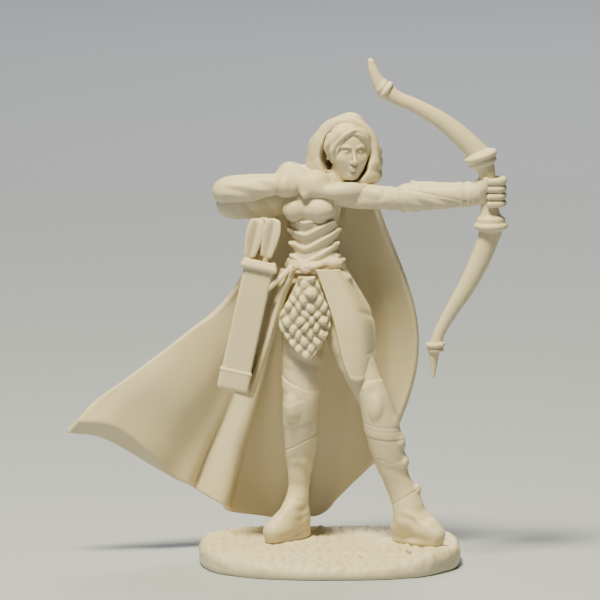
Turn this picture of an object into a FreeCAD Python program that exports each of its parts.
"""A 28 mm scale game miniature: a hooded archer on an oval ground base, as an assembly of separate pieces.

Millimetres. +Z is up, the figure faces -Y, and the bow is held out towards +X. The origin is the centre of the
base's flat underside. Each piece is a closed solid of its own. Where two pieces are glued on the real toy, one has
a round peg and the other a socket; elsewhere a piece is cut back to its neighbour, so that they meet face to face.
"""

import FreeCAD
import Part
import math
import os

V = FreeCAD.Vector

# ---------------------------------------------------------------- driving dimensions
BASE_THICK = 2.1
BASE_LEVELS = (  # the ground base's outlines: (height, length along X, depth along Y, squareness)
    (0.0, 21.4, 18.4, 2.5),  # squareness 2 would be a plain ellipse; more is nearer to a rounded oblong
    (0.85, 21.4, 18.4, 2.5),
    (1.75, 21.2, 14.6, 2.8),
    (BASE_THICK, 20.7, 12.6, 3.2),
)
PEG_R = 0.5  # glue pegs
PEG_GAP = 0.03  # radial clearance of a peg in its socket
PEG_LENGTH = 1.1
SOCKET_SLACK = 0.08  # a socket is this much deeper than its peg
FIT_GAP = 0.06  # between the hair and the hood round it
CLOTH = 0.62  # thickness of the cloak
PANEL = 0.5  # thickness of the coat skirts and the apron
ARROW_SHAFT_R = 0.26
ARROW_LENGTH = 4.7  # the part that shows above the quiver's mouth, and a little inside it
ARROW_DEPTH = 0.1  # how far into the quiver an arrow reaches, as a share of its length
VANE_LENGTH = 2.7
VANE_HEIGHT = 0.56
VANE_HALF_THICK = 0.12
RING_POINTS = 12  # points round each lofted section

# ---------------------------------------------------------------- the pose: joints of the body
RIGHT_HIP = V(-2.1, 0.3, 21.3)
RIGHT_KNEE = V(-2.3, -0.85, 13.1)
RIGHT_ANKLE = V(-2.5, 0.2, 5.2)
LEFT_HIP = V(0.3, -0.1, 21.4)
LEFT_KNEE = V(3.75, -2.2, 13.0)
LEFT_ANKLE = V(5.95, -1.75, 5.5)
RIGHT_SHOULDER = V(-2.9, 0.8, 29.6)
RIGHT_ELBOW = V(-8.0, 0.6, 29.0)
RIGHT_WRIST = V(-4.3, -0.9, 30.8)
LEFT_SHOULDER = V(1.3, -0.3, 30.0)
LEFT_ELBOW = V(5.7, -0.95, 29.75)
LEFT_WRIST = V(11.5, -1.5, 30.1)
FIST = V(12.9, -1.6, 30.4)
HEAD = V(1.55, 0.15, 33.5)
HAIR_CENTRE = HEAD + V(0, 0.35, 0.1)
HAIR_RADII = (1.95, 1.95, 2.5)


# ---------------------------------------------------------------- helpers
def ring(centre, normal, across, half_a, half_b, points=RING_POINTS):
    """A closed smooth oval round centre, in the plane of normal: half_a along across, half_b square to it."""
    n = V(normal).normalize()
    a = (across - n * across.dot(n)).normalize()
    b = n.cross(a)
    spots = []
    for i in range(points):
        t = 2 * math.pi * i / points
        spots.append(centre + a * (half_a * math.cos(t)) + b * (half_b * math.sin(t)))
    curve = Part.BSplineCurve()
    curve.interpolate(spots, PeriodicFlag=True)
    return Part.Wire([curve.toShape()])


def limb(stations, across=V(1, 0, 0)):
    """A closed loft through ovals. A station is (centre, half_a, half_b); each oval is square to the centre line."""
    wires = []
    for i, (centre, half_a, half_b) in enumerate(stations):
        before = stations[max(i - 1, 0)][0]
        after = stations[min(i + 1, len(stations) - 1)][0]
        wires.append(ring(centre, after - before, across, half_a, half_b))
    return Part.makeLoft(wires, True, False)


def stack(levels):
    """A closed loft through level ovals. A level is (z, x, y, half_x, half_y)."""
    wires = [ring(V(x, y, z), V(0, 0, 1), V(1, 0, 0), hx, hy) for z, x, y, hx, hy in levels]
    return Part.makeLoft(wires, True, False)


def ball(centre, rx, ry, rz):
    """An ellipsoid."""
    sphere = Part.makeSphere(1.0)
    m = FreeCAD.Matrix()
    m.scale(rx, ry, rz)
    shape = sphere.transformGeometry(m)
    shape.translate(centre)
    return shape


def rod(start, end, r1, r2=None):
    """A round rod from start to end, tapering from r1 to r2."""
    r2 = r1 if r2 is None else r2
    d = end - start
    if abs(r1 - r2) < 1e-6:
        return Part.makeCylinder(r1, d.Length, start, d)
    return Part.makeCone(r1, r2, d.Length, start, d)


def along(start, end, share):
    return start + (end - start) * share


def join(first, *others):
    """One solid from several that overlap."""
    return first.fuse(list(others))


def less(shape, *others):
    """The largest solid of shape without what others fill: slivers beside it are dropped."""
    rest = shape.cut(list(others)) if others else shape
    return max(rest.Solids, key=lambda s: s.Volume)


def peg(start, direction):
    """A glue peg from start along direction, rooted a little way back in its own piece."""
    d = V(direction).normalize()
    return Part.makeCylinder(PEG_R, PEG_LENGTH + 0.3, start - d * 0.3, d)


def socket(start, direction):
    """The hole that takes peg(start, direction)."""
    d = V(direction).normalize()
    return Part.makeCylinder(PEG_R + PEG_GAP, PEG_LENGTH + SOCKET_SLACK + 0.3, start - d * 0.3, d)


def surface_normals(grid):
    """A unit normal at each point of a grid, from its neighbours."""
    rows, cols = len(grid), len(grid[0])
    normals = []
    for i in range(rows):
        line = []
        for j in range(cols):
            du = grid[min(i + 1, rows - 1)][j] - grid[max(i - 1, 0)][j]
            dv = grid[i][min(j + 1, cols - 1)] - grid[i][max(j - 1, 0)]
            line.append(du.cross(dv).normalize())
        normals.append(line)
    return normals


def sheet(grid, thick):
    """A closed sheet of even thickness, centred on a grid of points."""
    normals = surface_normals(grid)
    sides = []
    for sign in (-0.5, 0.5):
        points = [[p + n * (sign * thick) for p, n in zip(r, m)] for r, m in zip(grid, normals)]
        face = Part.BSplineSurface()
        face.interpolate(points)
        sides.append(face)
    u0, u1, v0, v1 = sides[0].bounds()
    w0, w1, x0, x1 = sides[1].bounds()
    walls = [
        Part.makeRuledSurface(sides[0].uIso(a).toShape(), sides[1].uIso(b).toShape())
        for a, b in ((u0, w0), (u1, w1))
    ]
    walls += [
        Part.makeRuledSurface(sides[0].vIso(a).toShape(), sides[1].vIso(b).toShape())
        for a, b in ((v0, x0), (v1, x1))
    ]
    shell = Part.Shell([s.toShape() for s in sides] + walls)
    shell.sewShape()
    solid = Part.makeSolid(shell)
    if solid.Volume < 0:
        solid.reverse()
    return solid


def spline_at(points, t):
    """A point on the smooth curve through hand-placed points, t from 0 to 1 (Catmull-Rom)."""
    s = t * (len(points) - 1)
    i = min(int(s), len(points) - 2)
    f = s - i
    p1, p2 = points[i], points[i + 1]
    p0 = points[i - 1] if i > 0 else p1 * 2 - p2
    p3 = points[i + 2] if i + 2 < len(points) else p2 * 2 - p1
    a = p1 * 2
    b = (p2 - p0) * f
    c = (p0 * 2 - p1 * 5 + p2 * 4 - p3) * (f * f)
    d = (p1 * 3 - p0 - p2 * 3 + p3) * (f * f * f)
    return (a + b + c + d) * 0.5


# ---------------------------------------------------------------- ground base
def squared(value, squareness):
    """A sine or cosine, pulled outwards so that the curve through it is squarer than an ellipse."""
    return math.copysign(abs(value) ** (2 / squareness), value)


def base():
    """A loaf: its outlines keep their length but lose depth towards the top."""
    outlines = []
    for z, length, depth, squareness in BASE_LEVELS:
        spots = []
        for i in range(4 * RING_POINTS):
            t = 2 * math.pi * i / (4 * RING_POINTS)
            x = length / 2 * squared(math.cos(t), squareness)
            y = depth / 2 * squared(math.sin(t), squareness)
            spots.append(V(x, y, z))
        rim = Part.BSplineCurve()
        rim.interpolate(spots, PeriodicFlag=True)
        outlines.append(Part.Wire([rim.toShape()]))
    return Part.makeLoft(outlines, True, True)


# ---------------------------------------------------------------- legs
def right_boot():
    z = BASE_THICK
    leg = limb([
        (RIGHT_KNEE + V(0, 0, 1.0), 1.55, 1.45),
        (RIGHT_KNEE, 1.46, 1.4),
        (V(-2.3, -0.35, 10.6), 1.38, 1.4),
        (V(-2.35, 0.1, 8.6), 1.18, 1.25),
        (V(-2.45, 0.25, 6.6), 0.86, 0.95),
        (RIGHT_ANKLE, 0.8, 0.95),
        (V(-2.5, 0.3, z + 1.0), 0.95, 1.15),
        (V(-2.5, 0.3, z), 0.95, 1.15),
    ])
    foot = limb([
        (V(-2.2, 0.6, z + 1.15), 0.85, 1.1),
        (V(-3.0, -0.5, z + 0.95), 0.9, 1.0),
        (V(-4.1, -1.7, z + 0.75), 0.95, 0.75),
        (V(-4.9, -2.6, z + 0.55), 0.6, 0.5),
    ], V(0, 1, 0))
    sole = Part.makeBox(30, 30, z, V(-15, -15, 0))
    return less(join(leg, foot), sole)


def left_boot():
    z = BASE_THICK
    leg = limb([
        (LEFT_KNEE + V(-0.35, 0.1, 1.1), 1.35, 1.35),
        (LEFT_KNEE, 1.42, 1.45),
        (V(4.4, -2.1, 10.9), 1.52, 1.45),
        (V(5.0, -1.9, 8.8), 1.42, 1.35),
        (V(5.5, -1.8, 7.0), 1.36, 1.3),
        (LEFT_ANKLE, 1.42, 1.35),
        (V(6.5, -2.2, z + 1.5), 1.5, 1.5),
        (V(6.7, -2.3, z), 1.45, 1.5),
    ])
    foot = limb([
        (V(5.9, -1.8, z + 1.2), 1.2, 1.2),
        (V(6.9, -2.7, z + 1.2), 1.3, 1.25),
        (V(8.0, -3.7, z + 0.85), 1.15, 0.95),
        (V(8.75, -4.4, z + 0.55), 0.75, 0.55),
    ], V(0, 1, 0))
    sole = Part.makeBox(30, 30, z, V(-15, -15, 0))
    return less(join(leg, foot), sole)


def right_thigh():
    return limb([
        (V(-2.0, 0.35, 22.6), 1.5, 1.5),
        (RIGHT_HIP, 1.75, 1.7),
        (V(-2.15, -0.1, 18.0), 1.8, 1.7),
        (V(-2.2, -0.5, 15.6), 1.65, 1.55),
        (RIGHT_KNEE + V(0, 0, 0.6), 1.45, 1.4),
    ])


def left_thigh():
    return limb([
        (V(0.2, 0.0, 22.6), 1.4, 1.5),
        (LEFT_HIP, 1.6, 1.65),
        (V(1.5, -0.9, 18.2), 1.6, 1.6),
        (V(2.6, -1.6, 15.5), 1.35, 1.4),
        (LEFT_KNEE + V(-0.2, 0.05, 0.6), 1.25, 1.3),
    ])


# ---------------------------------------------------------------- body
def hips():
    return stack([
        (24.6, -1.15, 0.1, 1.95, 1.35),
        (23.4, -1.0, 0.1, 2.35, 1.6),
        (22.0, -0.95, 0.1, 2.55, 1.75),
        (20.6, -0.95, 0.1, 2.2, 1.5),
    ])


def cup(centre, radius):
    """A rounded dome that faces forwards."""
    return limb([(centre + V(0, -out, 0), radius * share, radius * share) for out, share in CUP_STEPS])


CUP_STEPS = ((-0.5, 1.0), (0, 1.0), (0.55, 0.8), (0.85, 0.4))  # (how far forward, share of its radius there)


def torso():
    trunk = stack([
        (24.6, -1.15, 0.1, 1.7, 1.15),
        (26.0, -1.15, 0.15, 1.65, 1.15),
        (27.6, -1.2, 0.15, 1.95, 1.3),
        (29.2, -1.2, 0.2, 2.25, 1.4),
        (30.4, -0.9, 0.25, 2.2, 1.2),
        (31.1, 0.0, 0.3, 1.35, 1.0),
    ])
    return join(trunk, cup(V(-2.9, -1.0, 28.85), 1.0), cup(V(-0.95, -1.25, 28.85), 1.1))


def corset():
    return stack([
        (24.7, -1.15, 0.1, 2.1, 1.55),
        (26.0, -1.15, 0.15, 2.0, 1.5),
        (27.7, -1.2, 0.15, 2.25, 1.65),
    ])


def belt():
    return stack([
        (23.5, -1.0, 0.1, 2.7, 1.95),
        (24.2, -1.05, 0.1, 2.55, 1.85),
        (24.7, -1.1, 0.1, 2.4, 1.75),
    ])


def buckle():
    return Part.makeCylinder(0.55, 0.75, V(-1.9, -1.4, 24.1), V(0, -1, 0))


# ---------------------------------------------------------------- coat skirts and apron
def panel(rows, columns=7):
    """A hanging panel. A row is (front edge, middle, back edge); it is smooth across and down."""
    smooth = [[spline_at(list(row), j / (columns - 1)) for j in range(columns)] for row in rows]
    return sheet(smooth, PANEL)


def left_skirt():
    return panel([
        (V(-1.2, -2.15, 24.2), V(0.4, -1.75, 24.1), V(1.1, 0.5, 23.9)),
        (V(-0.5, -2.35, 22.4), V(1.3, -1.95, 22.4), V(2.0, 0.7, 22.4)),
        (V(0.3, -2.75, 20.0), V(2.4, -2.35, 20.0), V(3.3, 0.3, 19.9)),
        (V(0.85, -3.15, 17.6), V(2.6, -2.8, 17.5), V(3.4, -0.7, 17.4)),
        (V(1.6, -3.35, 15.2), V(2.3, -3.2, 15.05), V(3.0, -2.3, 15.4)),
    ])


def right_skirt():
    return panel([
        (V(-2.7, -1.95, 24.2), V(-3.7, -1.1, 24.1), V(-3.9, 0.7, 24.0)),
        (V(-3.7, -2.1, 21.6), V(-4.6, -1.0, 21.5), V(-4.9, 1.0, 21.4)),
        (V(-4.6, -2.0, 18.4), V(-5.7, -0.8, 18.3), V(-6.3, 1.2, 18.2)),
        (V(-5.5, -1.9, 15.6), V(-6.8, -0.6, 15.5), V(-7.6, 1.4, 15.4)),
        (V(-6.2, -1.8, 13.5), V(-7.6, -0.4, 13.3), V(-8.5, 1.6, 13.1)),
    ])


def scale_apron():
    return panel([
        (V(-1.3, -2.2, 23.6), V(-1.85, -2.35, 23.6), V(-2.4, -2.2, 23.6)),
        (V(-0.6, -2.25, 22.2), V(-1.9, -2.5, 22.2), V(-3.1, -2.2, 22.2)),
        (V(0.1, -2.1, 20.1), V(-2.0, -2.65, 20.1), V(-4.15, -2.15, 20.0)),
        (V(-0.4, -2.35, 18.4), V(-1.9, -2.75, 18.3), V(-3.4, -2.35, 18.4)),
        (V(-1.4, -2.75, 16.9), V(-1.75, -2.8, 16.8), V(-2.15, -2.75, 16.9)),
    ])


# ---------------------------------------------------------------- head, hair, hood
def head():
    skull = ball(HEAD, 1.55, 1.75, 2.25)
    jaw = ball(HEAD + V(0, -0.45, -1.25), 1.0, 1.1, 1.15)
    neck = rod(V(0.2, 0.4, 30.3), V(1.35, 0.3, 32.6), 1.0, 0.85)
    return join(skull, jaw, neck)


def hair():
    cap = ball(HAIR_CENTRE, *HAIR_RADII)
    right_lock = rod(HEAD + V(-1.5, -0.6, 0.4), V(-0.35, -1.15, 31.0), 0.4, 0.32)
    left_lock = rod(HEAD + V(1.5, -0.6, 0.4), V(3.0, -1.15, 31.1), 0.4, 0.32)
    face = ball(HEAD + V(0, -1.6, -0.55), 1.35, 1.6, 1.9)
    return less(join(cap, right_lock, left_lock), face)


def hood():
    cowl = stack([
        (30.9, 0.95, 0.75, 2.85, 2.1),
        (31.9, 1.2, 0.75, 3.0, 2.3),
        (33.2, 1.15, 0.75, 3.1, 2.35),
        (34.6, 1.15, 0.8, 2.5, 2.15),
        (35.9, 1.4, 0.85, 1.7, 1.5),
        (36.5, 1.7, 0.9, 0.7, 0.65),
    ])
    hollow = ball(HAIR_CENTRE, *[r + FIT_GAP for r in HAIR_RADII])
    mouth = limb([
        (HEAD + V(0, 0.6, -0.35), 1.95, 2.35),
        (HEAD + V(0, -1.0, -0.45), 2.05, 2.45),
        (HEAD + V(0, -3.5, -0.6), 2.4, 2.75),
    ])
    return less(cowl, hollow, mouth)


def mantle():
    collar_ring = stack([
        (29.7, -0.2, 0.75, 3.3, 2.1),
        (30.9, 0.5, 0.75, 2.9, 2.2),
    ])
    right_fall = limb([
        (V(-0.7, 0.5, 31.1), 1.2, 1.9),
        (V(-2.1, 0.1, 31.1), 1.4, 2.2),
        (V(-3.3, 0.0, 31.2), 1.45, 2.1),
        (V(-4.6, 0.3, 30.5), 1.0, 1.4),
    ], V(0, 0, 1))
    return join(collar_ring, right_fall)


# ---------------------------------------------------------------- cloak
CLOAK_TOP = [  # the shoulder line, from under the bow arm round the back to the drawing arm
    V(3.7, 0.9, 29.0),
    V(3.0, 2.2, 30.0),
    V(1.0, 3.1, 30.6),
    V(-1.0, 3.0, 30.7),
    V(-2.8, 2.4, 30.6),
    V(-4.3, 1.6, 30.0),
]
CLOAK_HEM = [  # the hem, from the same side
    V(5.7, 4.0, 10.7),
    V(3.7, 5.6, 7.5),
    V(1.3, 6.9, 4.8),
    V(-0.9, 7.7, 2.4),
    V(-3.6, 7.3, 2.5),
    V(-6.4, 6.6, 2.95),
    V(-8.6, 5.9, 3.6),
    V(-9.9, 4.4, 4.95),
    V(-13.4, 2.7, 7.15),
    V(-18.0, 1.7, 9.75),
    V(-21.2, 1.0, 9.8),
]
CLOAK_WIND_EDGE = [  # the edge that flies in the wind, from the shoulder to its curled corner
    V(-4.3, 1.6, 30.0),
    V(-6.2, 2.4, 24.5),
    V(-8.7, 2.9, 20.9),
    V(-11.3, 2.9, 18.8),
    V(-13.9, 2.7, 16.75),
    V(-16.5, 2.3, 14.75),
    V(-19.2, 1.9, 12.7),
    V(-21.2, 1.0, 9.8),
]
CLOAK_ROWS = 9
CLOAK_COLUMNS = 23
EDGE_BULGE = V(2.35, 0, 0)


def cloak_point(u, v):
    """A point of the cloak: u from the bow side to the wind side, v from the shoulders to the hem."""
    top = spline_at(CLOAK_TOP, u ** 0.9)
    hem = spline_at(CLOAK_HEM, u)
    swell = math.sin(math.pi * v ** 1.2)
    edge = (1 - u) ** 3  # the edge below the bow bows outwards
    wind = max(0.0, (u - 0.45) / 0.55) ** 1.4  # the wind side hangs first, then blows out
    blown = spline_at(CLOAK_WIND_EDGE, v) - along(CLOAK_TOP[-1], CLOAK_HEM[-1], v)
    return along(top, hem, v) + EDGE_BULGE * (edge * swell) + blown * wind


def cloak():
    rows, columns = CLOAK_ROWS - 1, CLOAK_COLUMNS - 1
    grid = [
        [cloak_point(j / columns, i / rows) for j in range(CLOAK_COLUMNS)] for i in range(CLOAK_ROWS)
    ]
    return sheet(grid, CLOTH)


# ---------------------------------------------------------------- arms and hands
def right_upper_arm():
    return limb([
        (RIGHT_SHOULDER + V(0.6, 0, 0.1), 1.2, 1.2),
        (RIGHT_SHOULDER + V(-0.8, 0, -0.05), 1.45, 1.3),
        (along(RIGHT_SHOULDER, RIGHT_ELBOW, 0.6), 1.45, 1.25),
        (RIGHT_ELBOW + V(-0.1, 0, 0), 1.25, 1.15),
        (RIGHT_ELBOW + V(-1.0, -0.1, 0.1), 0.8, 0.8),
    ], V(0, 0, 1))


def right_forearm():
    return limb([
        (RIGHT_ELBOW + V(-0.95, -0.8, 1.1), 0.75, 0.7),
        (RIGHT_ELBOW + V(-0.35, -1.0, 1.35), 1.15, 1.05),
        (along(RIGHT_ELBOW + V(0, -1.0, 1.4), RIGHT_WRIST, 0.5), 1.2, 1.1),
        (RIGHT_WRIST, 0.95, 0.9),
    ], V(0, 0, 1))


def right_hand():
    return limb([
        (RIGHT_WRIST + V(-0.2, 0, 0), 0.7, 0.6),
        (RIGHT_WRIST + V(0.7, -0.15, -0.05), 0.85, 0.7),
        (RIGHT_WRIST + V(1.4, -0.25, -0.05), 0.8, 0.65),
        (RIGHT_WRIST + V(1.95, -0.3, -0.05), 0.45, 0.4),
    ], V(0, 0, 1))


def left_upper_arm():
    return limb([
        (LEFT_SHOULDER + V(-0.5, 0.1, 0.05), 1.1, 1.1),
        (LEFT_SHOULDER + V(1.0, -0.1, -0.05), 1.2, 1.15),
        (along(LEFT_SHOULDER, LEFT_ELBOW, 0.65), 1.05, 1.05),
        (LEFT_ELBOW + V(0.3, 0, 0), 1.1, 1.1),
    ], V(0, 0, 1))


def left_bracer():
    return limb([
        (LEFT_ELBOW + V(0.3, -0.05, 0.1), 1.35, 1.25),
        (LEFT_ELBOW + V(0.9, -0.1, 0.15), 1.45, 1.35),
        (along(LEFT_ELBOW, LEFT_WRIST, 0.6), 1.25, 1.2),
        (LEFT_WRIST + V(-0.5, 0, 0), 1.1, 1.1),
        (LEFT_WRIST, 1.15, 1.15),
    ], V(0, 0, 1))


def left_hand():
    palm = ball(FIST + V(-0.55, 0.1, 0), 0.95, 1.05, 1.3)
    heel = rod(LEFT_WRIST, FIST + V(-0.5, 0, 0), 1.0, 1.05)
    fingers = [
        ball(FIST + V(0.35, -0.35, 0.98 - 0.65 * i), 0.95, 1.0, 0.42) for i in range(4)
    ]
    return join(palm, heel, *fingers)


# ---------------------------------------------------------------- bow
BOW_Y = FIST.y
GRIP_TOP = V(12.1, BOW_Y, 33.1)
GRIP_FOOT = V(12.9, BOW_Y, 27.7)


def collar(centre, direction, r, thick):
    d = V(direction).normalize()
    disc = Part.makeCylinder(r, thick, centre - d * (thick / 2), d)
    return disc.makeFillet(thick * 0.3, [disc.Edges[0], disc.Edges[2]])


def bow_grip():
    handle = limb([
        (GRIP_TOP, 0.95, 0.9),
        (V(12.55, BOW_Y, 32.2), 0.72, 0.68),
        (V(12.7, BOW_Y, 30.4), 0.66, 0.6),
        (V(12.8, BOW_Y, 28.9), 0.7, 0.65),
        (GRIP_FOOT, 0.95, 0.9),
    ])
    upper = collar(GRIP_TOP, V(-0.32, 0, 0.95), 1.5, 0.8)
    lower = collar(GRIP_FOOT, V(0, 0, -1), 1.5, 0.8)
    return join(handle, upper, lower)


def bow_upper_limb():
    curve = limb([
        (V(12.0, BOW_Y, 33.3), 0.9, 0.75),
        (V(10.5, BOW_Y, 34.8), 0.84, 0.72),
        (V(8.9, BOW_Y, 36.1), 0.72, 0.62),
        (V(6.9, BOW_Y, 37.25), 0.62, 0.56),
        (V(5.5, BOW_Y, 37.85), 0.64, 0.56),
        (V(4.35, BOW_Y, 38.6), 0.76, 0.62),
        (V(3.75, BOW_Y, 39.4), 0.56, 0.5),
        (V(3.4, BOW_Y, 40.3), 0.42, 0.4),
        (V(3.25, BOW_Y, 41.1), 0.26, 0.24),
    ])
    nock = collar(V(4.45, BOW_Y, 38.55), V(-0.8, 0, 0.6), 0.84, 0.5)
    return join(curve, nock)


def bow_lower_limb():
    curve = limb([
        (V(12.9, BOW_Y, 27.6), 0.9, 0.75),
        (V(12.6, BOW_Y, 26.2), 0.88, 0.72),
        (V(11.95, BOW_Y, 24.6), 0.85, 0.7),
        (V(10.95, BOW_Y, 22.6), 0.75, 0.64),
        (V(9.85, BOW_Y, 20.8), 0.62, 0.56),
        (V(8.85, BOW_Y, 19.0), 0.5, 0.46),
        (V(8.5, BOW_Y, 17.6), 0.46, 0.44),
        (V(8.55, BOW_Y, 16.4), 0.32, 0.3),
        (V(8.6, BOW_Y, 15.1), 0.18, 0.18),
    ])
    nock = collar(V(8.5, BOW_Y, 17.9), V(0.1, 0, 1), 0.9, 0.7)
    return join(curve, nock)


# ---------------------------------------------------------------- quiver and arrows
QUIVER_TOP = V(-5.7, -1.75, 24.6)
QUIVER_FOOT = V(-7.9, -2.35, 14.3)
QUIVER_HALF_WIDTH = 1.08
QUIVER_HALF_DEPTH = 0.85
QUIVER_CORNER = 0.3


def quiver_section(share, grow):
    """A rounded oblong outline round the quiver's axis at share of its length, grown by grow."""
    axis = (QUIVER_FOOT - QUIVER_TOP).normalize()
    centre = along(QUIVER_TOP, QUIVER_FOOT, share)
    a = (V(1, 0, 0) - axis * axis.x).normalize()
    b = axis.cross(a)
    half_a = QUIVER_HALF_WIDTH + grow
    half_b = QUIVER_HALF_DEPTH + grow
    corners = [(half_a, half_b), (-half_a, half_b), (-half_a, -half_b), (half_a, -half_b)]
    points = [centre + a * x + b * y for x, y in corners]
    return Part.makePolygon(points + points[:1])


def quiver():
    body = Part.makeLoft([quiver_section(0, 0.05), quiver_section(0.9, 0.12)], True, True)
    band = Part.makeLoft([quiver_section(0.9, 0.22), quiver_section(0.985, 0.22)], True, True)
    foot = Part.makeLoft([quiver_section(0.985, 0.18), quiver_section(1.03, -0.1)], True, True)
    rim = Part.makeLoft([quiver_section(-0.035, 0.12), quiver_section(0.03, 0.45)], True, True)
    lip = Part.makeLoft([quiver_section(0.03, 0.45), quiver_section(0.06, 0.15)], True, True)
    mouth = Part.makeLoft([quiver_section(-0.05, -0.12), quiver_section(0.1, -0.12)], True, True)
    return less(join(body, band, foot, rim, lip), mouth)


def arrow(offset):
    """One arrow standing in the quiver: a shaft with three vanes."""
    axis = (QUIVER_TOP - QUIVER_FOOT).normalize()
    root = along(QUIVER_TOP, QUIVER_FOOT, ARROW_DEPTH) + offset
    tip = root + axis * ARROW_LENGTH
    shaft = rod(root, tip, ARROW_SHAFT_R)
    vanes = []
    up = (tip - root).normalize()
    for k in range(3):
        angle = math.radians(90 + 120 * k)
        side = V(math.cos(angle), math.sin(angle), 0)
        side = (side - up * side.dot(up)).normalize()
        flat = up.cross(side) * VANE_HALF_THICK
        low, high = tip - up * VANE_LENGTH, tip - up * 0.15
        outline = [low, low + side * VANE_HEIGHT * 0.8 + up * 0.5, high + side * VANE_HEIGHT, high]
        face = Part.Face(Part.makePolygon([p - flat for p in outline + outline[:1]]))
        vanes.append(face.extrude(flat * 2))
    return join(shaft, *vanes)


def quiver_strap():
    return limb([
        (V(-3.0, -1.7, 24.3), 0.28, 0.16),
        (V(-3.9, -2.5, 23.5), 0.28, 0.16),
        (V(-4.9, -2.6, 22.6), 0.28, 0.16),
    ], V(0, 0, 1))


# ---------------------------------------------------------------- assembly
LEGS = ("hips", "right_thigh", "left_thigh", "right_boot", "left_boot")
BODY = ("torso", "corset", "belt", "buckle") + LEGS
PIECES = {  # piece: (its whole shape, the pieces that it is cut back to)
    "base": (base, ()),
    "right_boot": (right_boot, ("base",)),
    "left_boot": (left_boot, ("base",)),
    "hips": (hips, ()),
    "right_thigh": (right_thigh, ("hips", "right_boot")),
    "left_thigh": (left_thigh, ("hips", "left_boot", "right_thigh")),
    "torso": (torso, ("hips",)),
    "corset": (corset, ("torso", "hips")),
    "belt": (belt, ("corset", "torso", "hips", "right_thigh", "left_thigh")),
    "buckle": (buckle, ("belt",)),
    "head": (head, ("torso",)),
    "hair": (hair, ("head", "torso")),
    "right_upper_arm": (right_upper_arm, ("torso",)),
    "right_forearm": (right_forearm, ("right_upper_arm",)),
    "right_hand": (right_hand, ("right_forearm", "right_upper_arm", "torso")),
    "left_upper_arm": (left_upper_arm, ("torso",)),
    "left_bracer": (left_bracer, ("left_upper_arm",)),
    "bow_grip": (bow_grip, ()),
    "bow_upper_limb": (bow_upper_limb, ("bow_grip",)),
    "bow_lower_limb": (bow_lower_limb, ("bow_grip",)),
    "left_hand": (left_hand, ("bow_grip", "left_bracer")),
    "hood": (hood, ("head", "torso")),
    "mantle": (mantle, (
        "hood", "hair", "head", "torso", "left_upper_arm", "right_upper_arm", "right_forearm", "right_hand",
    )),
    "quiver": (quiver, ()),
    "left_skirt": (left_skirt, BODY),
    "right_skirt": (right_skirt, ("quiver",) + BODY),
    "scale_apron": (scale_apron, ("left_skirt", "right_skirt") + BODY),
    "quiver_strap": (quiver_strap, ("belt", "quiver", "right_skirt", "hips")),
    "cloak": (cloak, (
        "base", "torso", "mantle", "hood", "left_upper_arm", "right_upper_arm", "right_skirt", "left_skirt",
    )),
}
ARROW_OFFSETS = (V(-0.66, -0.1, 0), V(0, 0.36, 0), V(0.66, -0.1, 0))
GLUED = (  # (the piece with the peg, the piece with the socket, where the peg starts, which way it goes)
    ("right_boot", "base", V(-2.6, 0.2, BASE_THICK), V(0, 0, -1)),
    ("left_boot", "base", V(6.3, -2.4, BASE_THICK), V(0, 0, -1)),
    ("head", "torso", V(0.5, 0.4, 31.1), V(-0.35, 0, -1)),
    ("left_upper_arm", "torso", V(0.75, 0, 29.8), V(-1, 0.05, 0)),
    ("right_upper_arm", "torso", V(-3.1, 0.5, 29.7), V(1, -0.05, 0)),
)


def assemble():
    """Every piece by name, cut back to its neighbours, with its glue pegs and sockets."""
    whole = {name: make() for name, (make, _) in PIECES.items()}
    parts = {name: less(whole[name], *[whole[n] for n in others]) for name, (_, others) in PIECES.items()}
    for male, female, start, way in GLUED:
        parts[female] = less(parts[female], socket(start, way))
        parts[male] = join(parts[male], peg(start, way))
    arrows = [arrow(offset) for offset in ARROW_OFFSETS]
    for i, shape in enumerate(arrows):
        parts[f"arrow_{i + 1}"] = less(shape, whole["quiver"], *arrows[:i])
    return parts


def main():
    os.makedirs("parts", exist_ok=True)
    for name, shape in assemble().items():
        print(f"{name:18s} solids {len(shape.Solids)} valid {shape.isValid()} volume {shape.Volume:8.3f} mm3")
        shape.exportStep(f"parts/{name}.step")


main()
